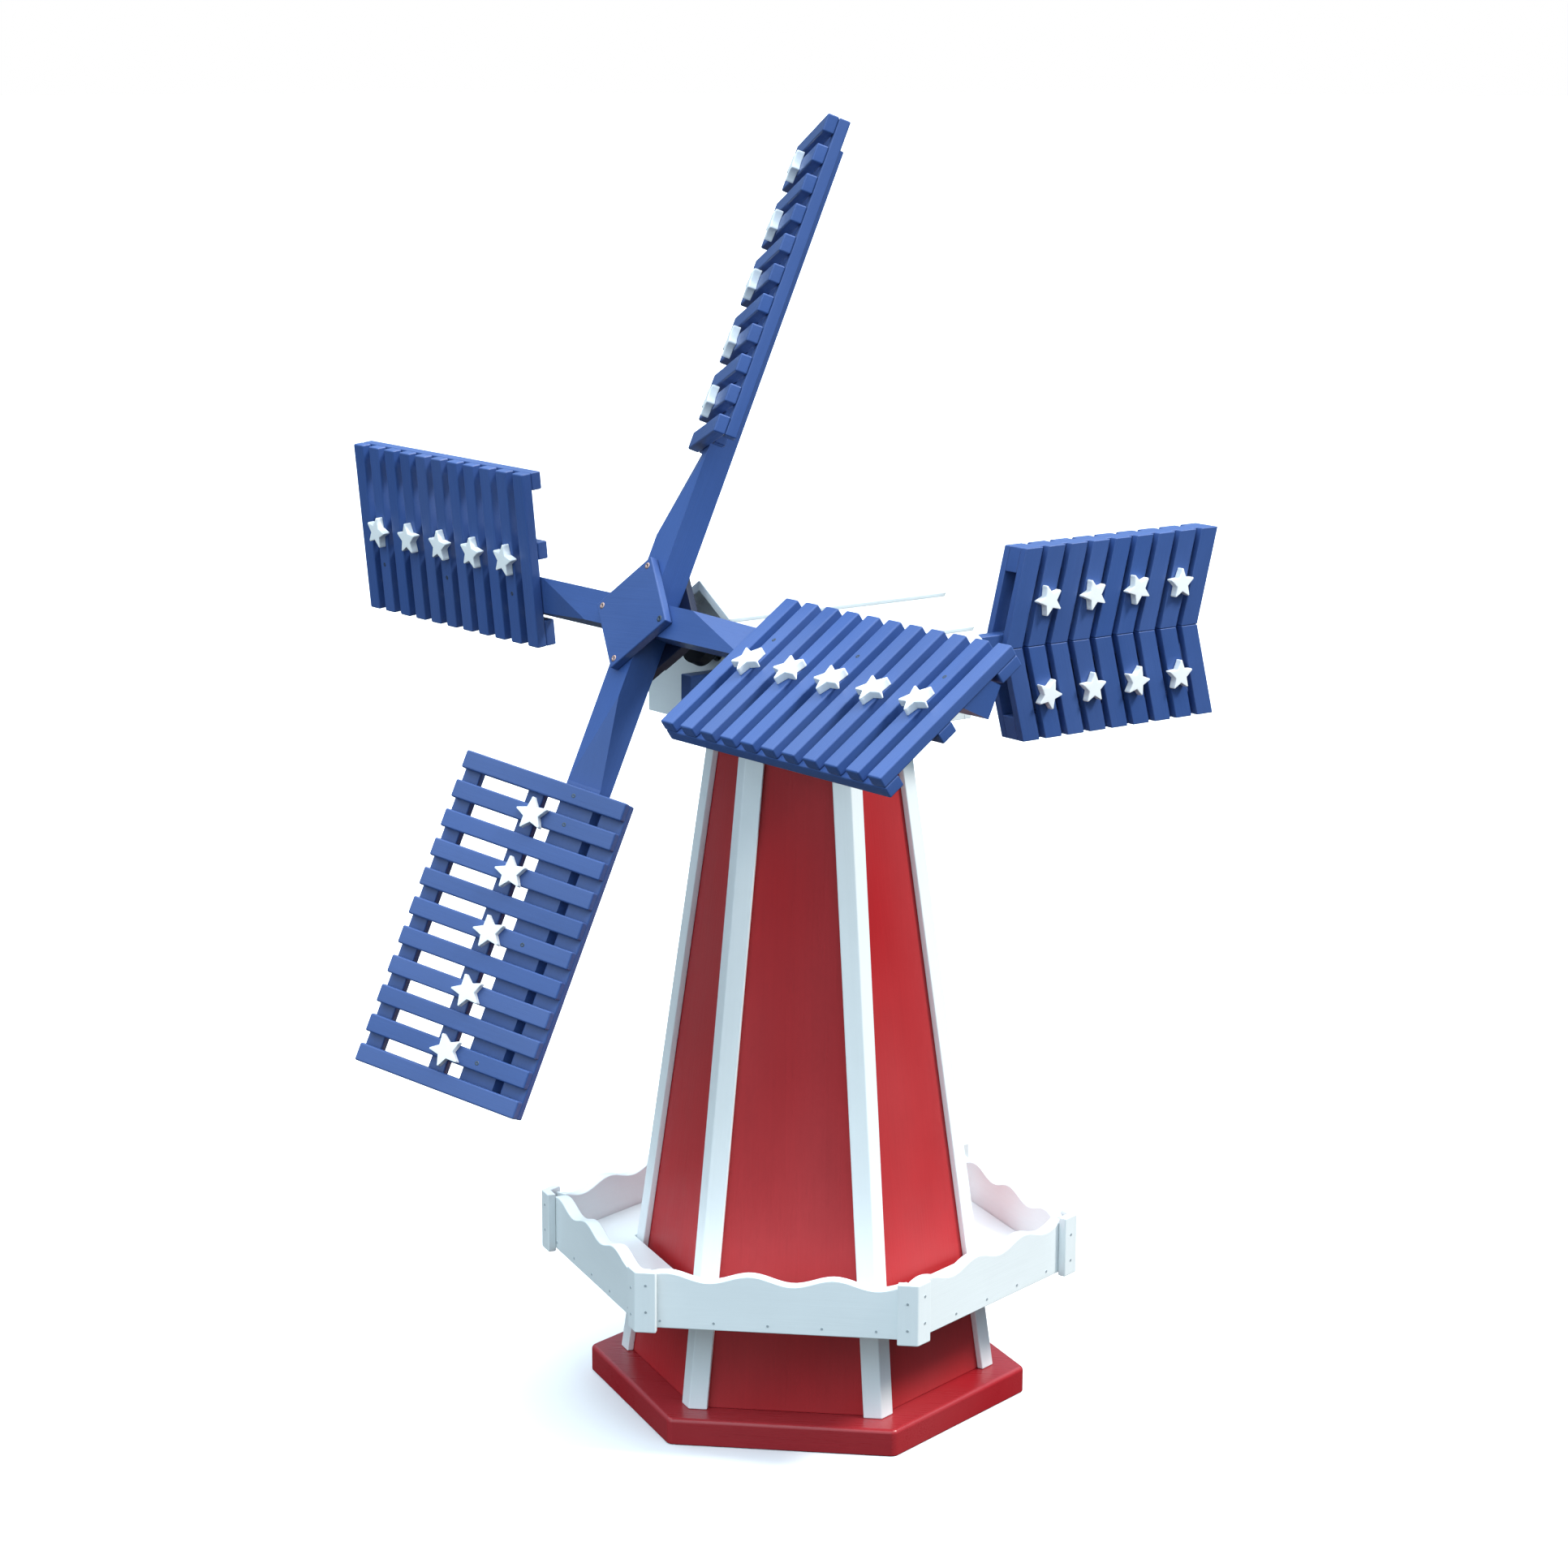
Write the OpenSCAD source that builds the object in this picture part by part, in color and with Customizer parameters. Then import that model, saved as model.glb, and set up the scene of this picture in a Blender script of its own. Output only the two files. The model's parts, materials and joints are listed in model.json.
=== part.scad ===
// Garden windmill: a hexagonal tapered tower with a planter tray round its foot,
// a turning head with a gable roof, a four-bladed slatted rotor on a shaft that is
// tipped upward, and a chevron-slatted tail vane that turns the head into the wind.
//
// Frame: origin at the centre of the underside of the base, +Z up. One flat side of
// the hexagon faces -Y and two corners lie on the X axis. The head is drawn turned
// by head_turn from -Y toward -X.
//
// Name endings: _r radius, _d diameter, _h height, _w width, _l length, _t thickness,
// _a angle. All sizes are in millimetres.

/* [Base] */
// Distance from the centre of the base to a corner
base_r = 316; // [310:1:330]
// Thickness of the base plate
base_h = 38; // [30:1:45]

/* [Tower] */
// Distance from the axis to a corner post's ridge, at the foot
foot_r = 271; // [265:1:280]
// Distance from the axis to a corner post's ridge, at the top
top_r = 142; // [138:1:150]
// Height of the top of the panels
tower_top = 955; // [940:1:956]
// Thickness of a tower panel
panel_t = 16; // [12:1:19]
// Thickness of a corner post
post_t = 9.5; // [8:0.5:12]
// Width of each of a corner post's two faces
post_w = 26; // [22:1:30]

/* [Planter] */
// Distance from the axis to a planter corner's ridge
tray_r = 387; // [380:1:395]
// Height of the underside of the planter's corner pieces
tray_z = 184; // [180:1:190]
// Height of a planter corner piece
tray_h = 87; // [80:1:90]
// Thickness of a planter side board
tray_t = 19; // [16:1:22]
// Thickness of a planter corner piece
tray_corner_t = 12; // [10:1:13]
// Width of each of a planter corner's two faces
tray_corner_w = 29; // [26:1:34]
// Rise and fall of the wavy top edge
wave_h = 12; // [6:1:16]
// Top of the planter floor above the underside of the tray
floor_up = 24; // [24:1:40]

/* [Head] */
// Turn of the head from -Y toward -X
head_turn = 45; // [0:1:90]
// Height of the underside of the head
head_z = 982.5; // [982:0.5:984]
// Length of the head's box
head_l = 322; // [316:1:328]
// Width of the head's box
head_w = 318; // [310:1:322]
// Thickness of the head's walls
wall_t = 12.7; // [10:0.1:14]
// Height of the ridge of the roof
ridge_z = 1189; // [1186:1:1200]
// Length of the roof along its ridge
roof_l = 380; // [370:1:384]
// Distance from the tower axis to the front of the short block under the shaft
nose_out = 212; // [190:1:216]
// Distance from the ridge to an eave, measured level
eave_x = 186; // [176:1:196]
// Angle of the roof
roof_a = 32.8; // [32:0.1:34]

/* [Rotor] */
// Angle of the shaft above level
shaft_tilt = 25; // [22:1:26]
// Distance from the tower axis to the front of the hub plate
hub_out = 303.5; // [300:0.5:308]
// Height of the middle of the hub plate's front
hub_z = 1156.5; // [1154:0.5:1160]
// Side of the square hub plates
hub_side = 113; // [106:1:118]
// Thickness of a hub plate
hub_t = 12.7; // [10:0.1:13]
// Side of the arms' square section
arm_w = 44; // [40:1:46]
// Radius from the shaft to the inner edge of the first slat
blade_in = 244; // [240:1:252]
// Radius from the shaft to the outer edge of the last slat
blade_out = 688; // [670:1:700]
// Pitch angle of the blades
pitch_a = 30.6; // [25:0.1:32]
// Length of a slat
slat_l = 246; // [240:0.5:255]
// Part of a slat's length on the low side of the arm
slat_low = 177; // [170:0.5:178]
// Width of a slat
slat_w = 25; // [22:0.5:30]
// Thickness of a slat
slat_t = 16; // [13:0.5:17]
// Width of the two battens on the low side of the arm
batten_w = 25; // [22:1:30]
// Thickness of a batten
batten_t = 16; // [14:0.5:19]
// Radius of a star, centre to point
star_r = 25; // [20:1:28]
// Thickness of a star
star_t = 11; // [6:0.5:12]
// Diameter of the collar on the shaft in front of the head
collar_d = 60; // [40:1:64]

/* [Tail] */
// Distance from the tower axis to the front of the tail
tail_in = 376; // [370:1:384]
// Distance from the tower axis to the back of the tail
tail_out = 754; // [740:1:764]
// Height of the top of the tail
tail_top = 1184; // [1180:1:1190]
// Height of the tail's middle line
tail_mid = 1040; // [1038:1:1042]
// Height of the bottom of the tail
tail_bot = 901; // [896:1:906]
// Distance that each slat leans forward at the middle line
tail_lean = 37; // [30:1:42]
// Width of a tail slat
tail_slat_w = 32; // [26:0.5:34]
// Thickness of a tail slat
tail_slat_t = 12; // [10:0.5:13]
// Thickness of the boom and the tail battens
boom_t = 24; // [22:0.5:26]
// Height of the boom
boom_h = 50; // [44:1:52]

/* [Hidden] */
$fn = 48;
// Clearance between neighbouring pieces
gap = 0.15;

blue = "#4c70b0";
dark_blue = "#1b2c55";
red = "#a83038";
white = "#eef2f4";
bare = "#b98a5c";
steel = "#a9adb3";
brass = "#b08d3c";
nylon = "#dcdccf";
iron = "#3c3f45";

// ---------- helpers ----------

// Faces of the hexagon, numbered from the one that faces -Y
module on_face(k) { rotate([0, 0, 60 * k]) children(); }
// Corners of the hexagon, numbered from the one 60 degrees from +X toward -Y
module on_corner(k) { rotate([0, 0, -60 + 60 * k]) children(); }

module hexagon(radius) {
  polygon([for (i = [0:5]) [radius * cos(60 * i), radius * sin(60 * i)]]);
}

// V-shaped strip with its ridge on the Z axis, opening toward -X. half_a is the
// angle between each face's normal and the X axis
module vee(width, thick, half_a) {
  outer = [-width * sin(half_a), width * cos(half_a)];
  inner = outer - thick * [cos(half_a), sin(half_a)];
  polygon([[0, 0], outer, inner, [-thick / cos(half_a), 0],
    [inner[0], -inner[1]], [outer[0], -outer[1]]]);
}

// Short bored cylinder, or a nut when sides is 6
module ring(d, bore, h, sides = $fn) {
  difference() {
    cylinder(d = d, h = h, $fn = sides);
    translate([0, 0, -1]) cylinder(d = bore, h = 20);
  }
}

// Five-pointed star with blunted points
star_inner_r = star_r * 0.46;
star_blunt = star_r * 0.2;
// Outline round the point at an angle, from the valley after it
function star_tip(angle) = let (
    tip = star_r * [cos(angle), sin(angle)],
    before = star_inner_r * [cos(angle - 36), sin(angle - 36)],
    after = star_inner_r * [cos(angle + 36), sin(angle + 36)],
    to_before = (before - tip) / norm(before - tip) * star_blunt,
    to_after = (after - tip) / norm(after - tip) * star_blunt,
    inward = (to_after + to_before) * 0.22,
    across = (to_after - to_before) * 0.25)
  [after, tip + to_after, tip + inward + across, tip + inward - across, tip + to_before];
module star() {
  linear_extrude(height = star_t) polygon([for (k = [4:-1:0]) each star_tip(72 * k)]);
}

// ---------- base and tower ----------

foot_z = base_h + gap;
// Inward slope of the corner ridges and of the panels, per unit of height
ridge_slope = (foot_r - top_r) / (tower_top - base_h);
panel_slope = ridge_slope * cos(30);
ridge_lean_a = atan(ridge_slope);
panel_lean_a = atan(panel_slope);
// Half of the angle between two neighbouring outward face normals
post_half_a = acos(pow(cos(panel_lean_a), 2) * 0.5 + pow(sin(panel_lean_a), 2)) / 2;
function ridge_r(z) = foot_r - ridge_slope * (z - base_h);
// Distance from the axis to the outer face of the panels
function panel_out(z) = ridge_r(z) * cos(30) - (post_t + gap) / cos(panel_lean_a);

// The leaning panels and posts are made too long and then cut level at both ends
panel_extra = 10;
post_extra = 12;

top_plate_z = tower_top + gap;
top_plate_t = 19;
top_plate_over = 7;
pivot_plate_z = 712;
pivot_plate_t = 19;
washer_z = top_plate_z + top_plate_t + 0.1;
washer_d = 120;
pivot_d = 20;
bush_d = 30;
bush_flange_d = 44;
bush_flange_t = 4;

module base_plate() {
  color(red) linear_extrude(height = base_h) hexagon(base_r);
}

module tower_panel(k) {
  inset = (post_t + panel_t) * tan(30) + 0.8;
  flare = panel_extra * ridge_slope / 2;
  foot_half = ridge_r(base_h) / 2 - inset + flare;
  top_half = ridge_r(tower_top) / 2 - inset - flare;
  blank_l = (tower_top - foot_z) / cos(panel_lean_a) + 2 * panel_extra;
  color(red) on_face(k) intersection() {
    translate([0, -panel_out(foot_z), foot_z]) rotate([-panel_lean_a, 0, 0])
      translate([0, panel_t, -panel_extra]) rotate([90, 0, 0]) linear_extrude(height = panel_t)
        polygon([[-foot_half, 0], [foot_half, 0], [top_half, blank_l], [-top_half, blank_l]]);
    translate([-400, -400, foot_z]) cube([800, 800, tower_top - foot_z]);
  }
}

module corner_posts() {
  blank_l = (tower_top - foot_z) / cos(ridge_lean_a) + 2 * post_extra;
  color(white) for (k = [0:5]) on_corner(k) intersection() {
    translate([ridge_r(foot_z), 0, foot_z]) rotate([0, -ridge_lean_a, 0])
      translate([0, 0, -post_extra]) linear_extrude(height = blank_l)
        vee(post_w, post_t, post_half_a);
    translate([0, -200, foot_z]) cube([500, 400, tower_top - foot_z]);
  }
}

// Hexagonal plate bored for a pivot bush
module bush_plate(radius, z, thick) {
  difference() {
    translate([0, 0, z]) linear_extrude(height = thick) hexagon(radius);
    translate([0, 0, z - 5]) cylinder(d = bush_d + 0.2, h = 50);
  }
}
module tower_top_plate() {
  color(red) bush_plate(top_r + top_plate_over, top_plate_z, top_plate_t);
}
// Fits between the panels inside the tower
module pivot_plate() {
  inner_a = panel_out(pivot_plate_z + pivot_plate_t) - panel_t / cos(panel_lean_a);
  color(bare) bush_plate(inner_a / cos(30) - 0.5, pivot_plate_z, pivot_plate_t);
}

// Bush with its flange below z = 0
module flanged_bush(length) {
  difference() {
    union() {
      cylinder(d = bush_d, h = length);
      translate([0, 0, -bush_flange_t]) cylinder(d = bush_flange_d, h = bush_flange_t + 0.01);
    }
    translate([0, 0, -10]) cylinder(d = pivot_d + 0.12, h = length + 20);
  }
}
module pivot_bushes() {
  color(brass) {
    translate([0, 0, top_plate_z - 0.1]) flanged_bush(top_plate_t);
    translate([0, 0, pivot_plate_z - 0.1]) flanged_bush(pivot_plate_t);
  }
}
module thrust_washer() {
  color(nylon) translate([0, 0, washer_z])
    ring(washer_d, pivot_d + 2, head_z - washer_z - 0.1 - gap);
}

// ---------- planter ----------

// Distance from the axis to the outer face of a side board
tray_board_out = tray_r * cos(30) - tray_corner_t - gap;
tray_board_l = 2 * (tray_board_out * tan(30) - tray_t * tan(30) - 0.6);
// The side boards start above, and crest below, the ends of the corner pieces
tray_board_up = 4;
crest_down = 3;
wave_pitch = 115;
wave_shift = 20;
wave_steps = 42;
floor_t = 19;
floor_z = tray_z + floor_up - floor_t;

floor_nail_l = 32;
floor_nail_start = 14;
floor_nail_pitch = 74;
corner_nail_l = 26;
corner_nail_in = 15;
// Nails on the two faces of a corner piece pass each other at different heights:
// [side of the face, heights above the underside of the corner piece]
corner_nail_rows = [[-1, [30, 68]], [1, [22, 60]]];

module planter_floor() {
  color(white) difference() {
    translate([0, 0, floor_z]) linear_extrude(height = floor_t)
      hexagon((tray_board_out - tray_t - 0.4) / cos(30));
    translate([0, 0, floor_z - 5]) linear_extrude(height = floor_t + 10)
      hexagon(ridge_r(floor_z) + 0.4);
  }
}

module planter_sides() {
  crest = tray_h - crest_down - tray_board_up;
  half_l = tray_board_l / 2;
  function wave_edge(x) = crest - wave_h / 2 * (1 + cos(360 * (x - wave_shift) / wave_pitch));
  color(white) for (k = [0:5]) on_face(k)
    translate([0, -tray_board_out + tray_t, tray_z + tray_board_up]) rotate([90, 0, 0])
      linear_extrude(height = tray_t)
        polygon(concat([[-half_l, 0], [half_l, 0]],
          [for (i = [wave_steps:-1:0]) let (x = -half_l + 2 * half_l * i / wave_steps)
            [x, wave_edge(x)]]));
}

module planter_corners() {
  color(white) for (k = [0:5]) on_corner(k) translate([tray_r, 0, tray_z])
    linear_extrude(height = tray_h) vee(tray_corner_w, tray_corner_t, 30);
}

// Nail driven toward +Y
module nail(length) {
  rotate([-90, 0, 0]) rotate_extrude()
    polygon([[0, -0.6], [1.8, -0.6], [1.8, 0.2], [1.1, 0.2], [1.1, length], [0, length]]);
}
module planter_nails() {
  color(steel) for (k = [0:5]) on_face(k) {
    for (i = [0:4])
      translate([-tray_board_l / 2 + floor_nail_start + i * floor_nail_pitch,
        -tray_board_out, floor_z + floor_t / 2]) nail(floor_nail_l);
    for (row = corner_nail_rows) for (z = row[1])
      translate([row[0] * (tray_r / 2 - corner_nail_in), -tray_r * cos(30), tray_z + z])
        nail(corner_nail_l);
  }
}

// ---------- pivot ----------

head_floor_t = 19;
// Height at which pieces stand on the head's floor
on_floor_z = head_z + head_floor_t + gap;
// Length of the pivot below the pivot plate, and above the underside of its flange
pivot_below = 40;
pivot_flange_d = 90;
pivot_flange_t = 5;
pivot_screw_r = 34;
pivot_screw_head_d = 9;

// Frame of the head: -Y is its front
module in_head() { rotate([0, 0, -head_turn]) children(); }

// Places of the four screws in the pivot's flange
module at_pivot_screws(z) {
  for (angle = [45:90:315]) rotate([0, 0, angle]) translate([pivot_screw_r, 0, z]) children();
}

module pivot_shaft() {
  color(steel) difference() {
    union() {
      translate([0, 0, pivot_plate_z - pivot_below])
        cylinder(d = pivot_d, h = head_z + head_floor_t - pivot_plate_z + pivot_below + 4);
      translate([0, 0, on_floor_z]) cylinder(d = pivot_flange_d, h = pivot_flange_t);
    }
    in_head() at_pivot_screws(head_z + 15) cylinder(d = 5, h = 20);
  }
}
module pivot_collar() {
  color(steel) translate([0, 0, pivot_plate_z - 24]) ring(38, pivot_d + 0.1, 18);
}
module pivot_screws() {
  color(steel) in_head() at_pivot_screws(on_floor_z + pivot_flange_t) union() {
    cylinder(d = pivot_screw_head_d, h = 3);
    translate([0, 0, -20]) cylinder(d = 4.4, h = 20.1);
  }
}

// ---------- head ----------

roof_rows = 3;
// Each lapped roof board is thin at its upper edge and thick at its lower edge
roof_thin = 6.5;
roof_thick = 12.7;
roof_under = ridge_z - roof_thick / cos(roof_a);
roof_run = eave_x / cos(roof_a);
wall_top = roof_under - head_w / 2 * tan(roof_a) - gap;
// Distance from the axis to the inner face of the head's end walls
head_in_y = head_l / 2 - wall_t;
boom_z = tail_mid - 4 - boom_h / 2;

module head_floor() {
  length = 2 * (head_in_y - gap);
  width = head_w - 2 * wall_t - 2 * gap;
  color(bare) in_head() difference() {
    translate([-width / 2, -length / 2, head_z]) cube([width, length, head_floor_t]);
    translate([0, 0, head_z - 5]) cylinder(d = pivot_d + 0.6, h = 30);
  }
}

// End wall with its rear face at y
module gable(y) {
  translate([0, y, 0]) rotate([90, 0, 0]) linear_extrude(height = wall_t)
    polygon([[-head_w / 2, head_z], [head_w / 2, head_z], [head_w / 2, wall_top],
      [0, roof_under - gap], [-head_w / 2, wall_top]]);
}
// Cutter for the boom's section, from y backward
module boom_slot(y, clear) {
  translate([-boom_t / 2 - clear, y, boom_z - clear])
    cube([boom_t + 2 * clear, 60, boom_h + 2 * clear]);
}
module head_front() {
  color(white) in_head() difference() {
    gable(-head_in_y);
    on_shaft() translate([0, 0, -220]) cylinder(d = 28, h = 120);
    boom_slot(-head_l / 2 - 20, gap);
  }
}
module head_rear() {
  color(white) in_head() difference() {
    gable(head_l / 2);
    boom_slot(head_l / 2 - 30, 0.5);
  }
}
module head_side(side) {
  color(white) in_head()
    translate([side * (head_w - wall_t) / 2 - wall_t / 2, -head_in_y + gap, head_z])
      cube([wall_t, 2 * (head_in_y - gap), wall_top - head_z]);
}
module head_side_left() { head_side(-1); }
module head_side_right() { head_side(1); }

// Point at a distance down the +X slope and a height square off its underside
function roof_point(down, off) = [down * cos(roof_a) + off * sin(roof_a),
  roof_under - down * sin(roof_a) + off * cos(roof_a)];
module roof_board(i) {
  upper = i * roof_run / roof_rows + (i == 0 ? 0 : gap);
  lower = (i + 1) * roof_run / roof_rows;
  ridge_drop = gap * tan(roof_a);
  rotate([90, 0, 0]) translate([0, 0, -roof_l / 2]) linear_extrude(height = roof_l)
    if (i == 0)
      polygon([[gap, roof_under - ridge_drop], roof_point(lower, 0),
        roof_point(lower, roof_thick), [gap, ridge_z - ridge_drop]]);
    else
      polygon([roof_point(upper, 0), roof_point(lower, 0),
        roof_point(lower, roof_thick), roof_point(upper, roof_thin)]);
}
module roof_slope() { for (i = [0:roof_rows - 1]) roof_board(i); }
module roof_right() { color(white) in_head() roof_slope(); }
module roof_left() { color(white) in_head() mirror([1, 0, 0]) roof_slope(); }

// ---------- shaft bearings ----------

shaft_d = 16;
// Bores in metal and in wood
shaft_hole = shaft_d + 0.1;
shaft_wood_hole = shaft_d + 0.4;
// Distances behind the hub plate's front to the middle of each bearing
bearing_front = 196;
bearing_rear = 272;
bearing_t = 24;
bearing_d = 38;
bearing_foot_w = 64;
bearing_foot_h = 10;
// Distance from the shaft down to the underside of a bearing
bearing_drop = 22;
bearing_bolt_x = 26;
cradle_w = 74;
cradle_depth = 220;

// Frame of the rotor: origin at the middle of the hub plate's front, Z forward along
// the shaft, X level, Y up the plane of the blades
module on_shaft() { translate([0, -hub_out, hub_z]) rotate([90 - shaft_tilt, 0, 0]) children(); }
module in_rotor() { in_head() on_shaft() children(); }

// Sloped block that carries the two shaft bearings, cut level at the floor
module shaft_cradle() {
  color(bare) in_head() difference() {
    intersection() {
      on_shaft()
        translate([-cradle_w / 2, -cradle_depth - bearing_drop - gap, -bearing_rear - 26])
          cube([cradle_w, cradle_depth, bearing_rear - bearing_front + 56]);
      translate([-60, -head_in_y + gap, on_floor_z]) cube([120, head_l, 200]);
    }
    // Room for the pivot's flange and its screws
    translate([0, 0, on_floor_z - 1])
      cylinder(d = pivot_flange_d + 6, h = pivot_flange_t + 1.5 + 1);
    at_pivot_screws(on_floor_z) cylinder(d = pivot_screw_head_d + 3, h = 12);
  }
}
module shaft_bearings() {
  color(iron) in_rotor() for (behind = [bearing_front, bearing_rear])
    translate([0, 0, -behind - bearing_t / 2]) difference() {
      linear_extrude(height = bearing_t) union() {
        translate([-bearing_foot_w / 2, -bearing_drop]) square([bearing_foot_w, bearing_foot_h]);
        translate([-bearing_d / 2, -bearing_drop]) square([bearing_d, bearing_drop]);
        circle(d = bearing_d);
      }
      translate([0, 0, -1]) cylinder(d = shaft_hole, h = bearing_t + 2);
      for (side = [-1, 1]) translate([side * bearing_bolt_x, -8, bearing_t / 2])
        rotate([90, 0, 0]) cylinder(d = 5.6, h = 20);
    }
}
module bearing_bolts() {
  foot_top = -bearing_drop + bearing_foot_h;
  color(steel) in_rotor() for (behind = [bearing_front, bearing_rear]) for (side = [-1, 1])
    translate([side * bearing_bolt_x, foot_top + gap, -behind]) rotate([90, 0, 0]) union() {
      translate([0, 0, -4]) cylinder(d = 10, h = 4);
      translate([0, 0, -0.1]) cylinder(d = 5, h = 26);
    }
}

// ---------- tail ----------

// Distances behind the tower axis to the boom's ends
boom_in = 62;
boom_end = tail_out - tail_lean - 8;
cleat_w = 60;
cleat_clear = 2;
tail_batten_h = 36;
tail_slat_n = 9;
tail_step = (tail_out - tail_in - tail_slat_w) / (tail_slat_n - 1);
// Rows of tail stars: [height, turn of each star from front to back]
tail_star_rows = [
  [tail_mid + 66, [36, 36, 41, 18]],
  [tail_mid - 72, [67, 18, 3, 18]]];

// Forward shift of the chevron at a height
function tail_shift(z) = tail_lean * (z > tail_mid
  ? (tail_top - z) / (tail_top - tail_mid)
  : (z - tail_bot) / (tail_mid - tail_bot));
// Lower X of a piece that starts at a distance from the tail's middle plane on one side
function side_x(side, inner, thick) = side > 0 ? inner : -inner - thick;

// Piece of the boom's section between two distances behind the axis
module boom_piece(front, back) {
  translate([-boom_t / 2, front, boom_z]) cube([boom_t, back - front, boom_h]);
}
// Short length of the boom's stock let into the front wall under the shaft
module nose_block() { color(blue) in_head() boom_piece(-nose_out, -head_in_y); }
module tail_boom() { color(blue) in_head() boom_piece(boom_in, boom_end); }
// Block between the head's floor and the boom
module boom_cleat() {
  color(bare) in_head() translate([-cleat_w / 2, boom_in + cleat_clear, on_floor_z])
    cube([cleat_w, head_in_y - boom_in - 2 * cleat_clear, boom_z - gap - on_floor_z]);
}

// Shape drawn by distance behind the axis and height, extruded across the tail
module tail_piece(points, x, thick) {
  translate([x, 0, 0]) rotate([90, 0, 90]) linear_extrude(height = thick) polygon(points);
}
module tail_batten(low, high) {
  color(blue) in_head() tail_piece([
    [tail_in - tail_shift(low), low], [tail_out - tail_shift(low), low],
    [tail_out - tail_shift(high), high], [tail_in - tail_shift(high), high]],
    -boom_t / 2, boom_t);
}
module tail_top_batten() { tail_batten(tail_top - tail_batten_h, tail_top); }
module tail_bottom_batten() { tail_batten(tail_bot, tail_bot + tail_batten_h); }

module tail_slats(side) {
  x = side_x(side, boom_t / 2 + gap, tail_slat_t);
  color(blue) in_head() for (i = [0:tail_slat_n - 1]) {
    front = tail_in + i * tail_step;
    back = front + tail_slat_w;
    tail_piece([[front, tail_top], [front - tail_lean, tail_mid + gap],
      [back - tail_lean, tail_mid + gap], [back, tail_top]], x, tail_slat_t);
    tail_piece([[front, tail_bot], [back, tail_bot],
      [back - tail_lean, tail_mid - gap], [front - tail_lean, tail_mid - gap]], x, tail_slat_t);
  }
}
module tail_slats_right() { tail_slats(1); }
module tail_slats_left() { tail_slats(-1); }

// Stars on both sides of every second slat
module tail_stars() {
  color(white) in_head() for (side = [-1, 1]) for (i = [0:3]) for (row = tail_star_rows) {
    z = row[0];
    y = tail_in + (2 * i + 1) * tail_step + tail_slat_w / 2 - tail_shift(z);
    translate([side_x(side, boom_t / 2 + tail_slat_t + 2 * gap, star_t), y, z])
      rotate([90, 0, 90]) rotate([0, 0, row[1][i]]) star();
  }
}

// ---------- shaft and hub ----------

// Distances behind the hub plate's front to the backs of the hub's layers
hub_back = 2 * hub_t + arm_w + 2 * gap;
block_side = 76;
block_t = 19;
block_back = hub_back + gap + block_t;
arm_z = -(hub_t + gap + arm_w / 2);
shaft_back = 300;
nut_d = 27;
front_nut_z = -hub_t - gap - 11;
shaft_collar_d = 30;
shaft_collar_t = 12;
hub_screw_r = 66;
hub_screw_d = 4.5;
hub_screw_head_h = hub_screw_d * 0.8;

module rotor_shaft() {
  color(steel) in_rotor() translate([0, 0, -shaft_back])
    cylinder(d = shaft_d, h = shaft_back - hub_t - gap - 3);
}
module shaft_nuts() {
  color(steel) in_rotor() {
    translate([0, 0, front_nut_z]) ring(nut_d, shaft_hole, 10, sides = 6);
    translate([0, 0, -block_back - gap - 12]) ring(nut_d, shaft_hole, 12, sides = 6);
  }
}
// One collar on each side of the rear bearing
module shaft_collars() {
  color(steel) in_rotor() for (z = [-bearing_t / 2 - 0.4 - shaft_collar_t, bearing_t / 2 + 0.4])
    translate([0, 0, z - bearing_rear]) ring(shaft_collar_d, shaft_hole, shaft_collar_t);
}
module front_collar() {
  color(iron) in_rotor() translate([0, 0, -138]) ring(collar_d, shaft_hole, 16);
}

// Square plate set corner-up, with its back at z
module diamond(side, z, thick) {
  translate([0, 0, z]) linear_extrude(height = thick) rotate(45) square([side, side], center = true);
}
module shaft_bore() { translate([0, 0, -200]) cylinder(d = shaft_wood_hole, h = 200); }
module hub_front_plate() { color(blue) in_rotor() diamond(hub_side, -hub_t, hub_t); }
module hub_back_plate() {
  color(dark_blue) in_rotor() difference() {
    diamond(hub_side, -hub_back, hub_t);
    shaft_bore();
  }
}
module hub_block() {
  color(dark_blue) in_rotor() difference() {
    diamond(block_side, -block_back, block_t);
    shaft_bore();
  }
}

// Screw pointing toward -Z, with the underside of its countersunk head at z = 0
module countersunk(length) {
  root_d = hub_screw_d * 0.55;
  union() {
    cylinder(d1 = root_d, d2 = hub_screw_d * 2, h = hub_screw_head_h);
    translate([0, 0, -length]) cylinder(d = root_d, h = length + 0.1);
  }
}
// Screws into each arm from the front and from the back
module hub_screws() {
  color(steel) in_rotor() for (angle = [0:90:270]) rotate([0, 0, angle]) {
    translate([hub_screw_r, 0, -hub_screw_head_h]) countersunk(30);
    translate([hub_screw_r, 0, -hub_back + hub_screw_head_h]) mirror([0, 0, 1]) countersunk(26);
  }
}

// ---------- blades ----------

slat_n = 11;
slat_step = (blade_out - blade_in - slat_w) / (slat_n - 1);
// Front and back of the slats in the blade's frame; the arm's seat is level with seat_z
slat_front = 24.5;
seat_z = slat_front - slat_t - gap;
arm_end = blade_out - 3;
// Radii at which the arm's seat and the bevel that leads to it begin
seat_r = blade_in - 6;
bevel_r = 112;
// Half extent of the arm's section, measured along a pitched slat
arm_reach = arm_w / 2 * (cos(pitch_a) + sin(pitch_a));
high_batten_y = arm_reach + 2.2;
// [start, width] of each batten; the one on the high side of the arm fills the width
// left beside it
battens = [[-slat_low, batten_w], [-slat_low + 98, batten_w],
  [high_batten_y, slat_l - slat_low - high_batten_y]];
// Line of the stars along each blade
star_y = -slat_low + 125;
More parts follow.
